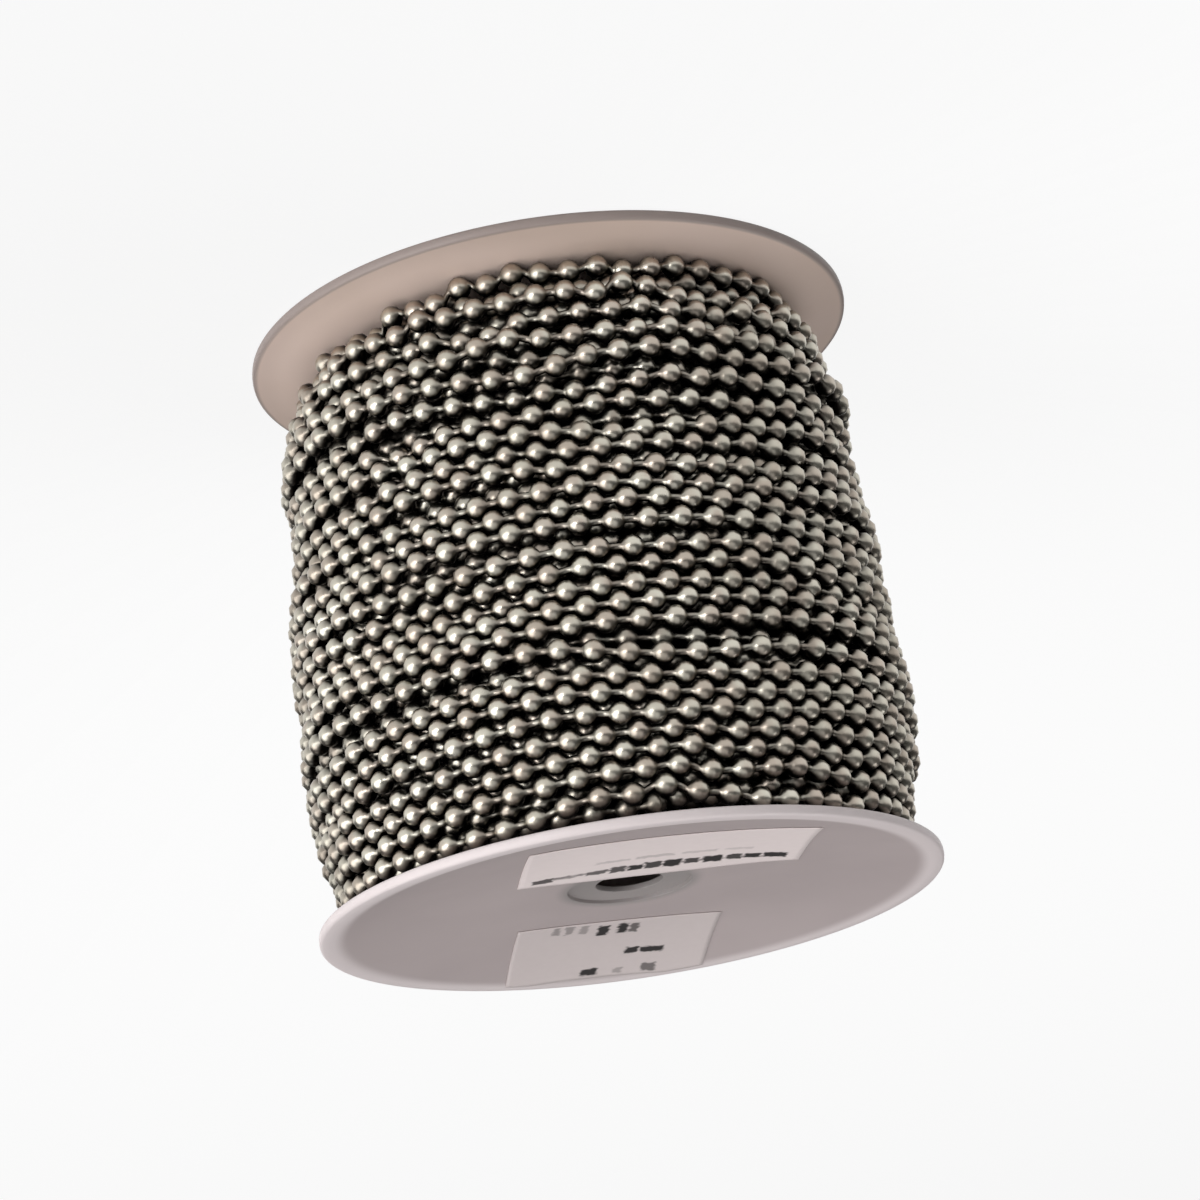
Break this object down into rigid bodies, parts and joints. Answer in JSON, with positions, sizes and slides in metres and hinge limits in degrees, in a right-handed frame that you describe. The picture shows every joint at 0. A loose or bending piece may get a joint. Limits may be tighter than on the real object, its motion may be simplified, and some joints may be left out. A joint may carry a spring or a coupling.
{
  "type": "roller blind chain reel",
  "caption": "Reel of metal ball chain for roller blinds: chain wound in many turns on a plastic spool with two dished round flanges.",
  "frame": {"origin": "middle of the plain flange's rim plane, which the reel stands on", "axes": "+Z along the reel's axis, from the plain flange to the labelled one; +X and +Y across it"},
  "size_m": [0.1207, 0.1206, 0.1184],
  "materials": {
    "white_plastic": "moulded white plastic with a dull sheen",
    "core_plastic": "plain moulded plastic",
    "nickel_plated_steel": "nickel-plated steel, warm and slightly dull",
    "sticker_paper": null
  },
  "bodies": {
    "root": {"plain_flange": "white_plastic", "labelled_flange": "white_plastic", "core_tube": "core_plastic", "wound_chain": "nickel_plated_steel", "product_sticker": "sticker_paper", "size_sticker": "sticker_paper"}
  },
  "joints": []
}
